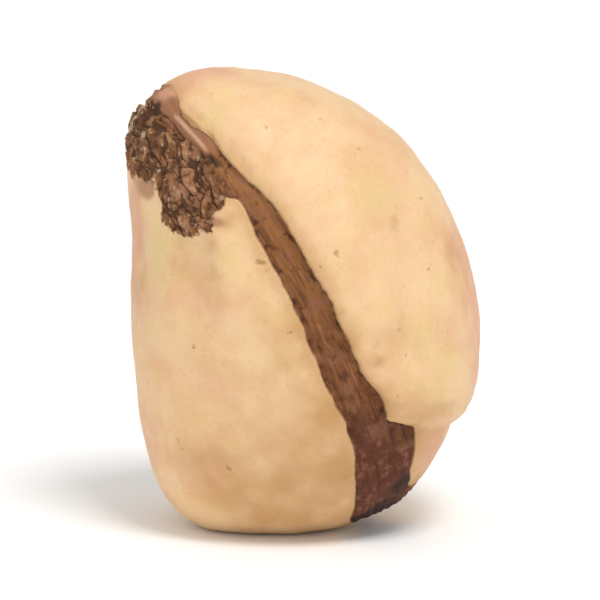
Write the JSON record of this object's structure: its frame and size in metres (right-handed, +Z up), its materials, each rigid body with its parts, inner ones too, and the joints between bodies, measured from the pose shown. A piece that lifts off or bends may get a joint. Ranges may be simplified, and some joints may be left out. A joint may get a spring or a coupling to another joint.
{
  "type": "kola nut",
  "caption": "Whole peeled kola nut: a blunt, egg-shaped seed of cream seed leaves joined along a brown seam, with a scar at one shoulder, that rests on its blunt end.",
  "frame": {"origin": "centre of the nut's bounding box on X and Y, at the level that its blunt end rests on", "axes": "+Z up along the standing nut, from its blunt end to its shoulder; +X to the right of the front view, in which the seam runs from the scar at the upper left to the pocket at the lower right; +Y from the front to the back"},
  "size_m": [0.0306, 0.026, 0.04],
  "materials": {
    "seed_leaves": "smooth fresh nut skin, satin"
  },
  "bodies": {
    "root": {"kola_nut": "seed_leaves"}
  },
  "joints": []
}
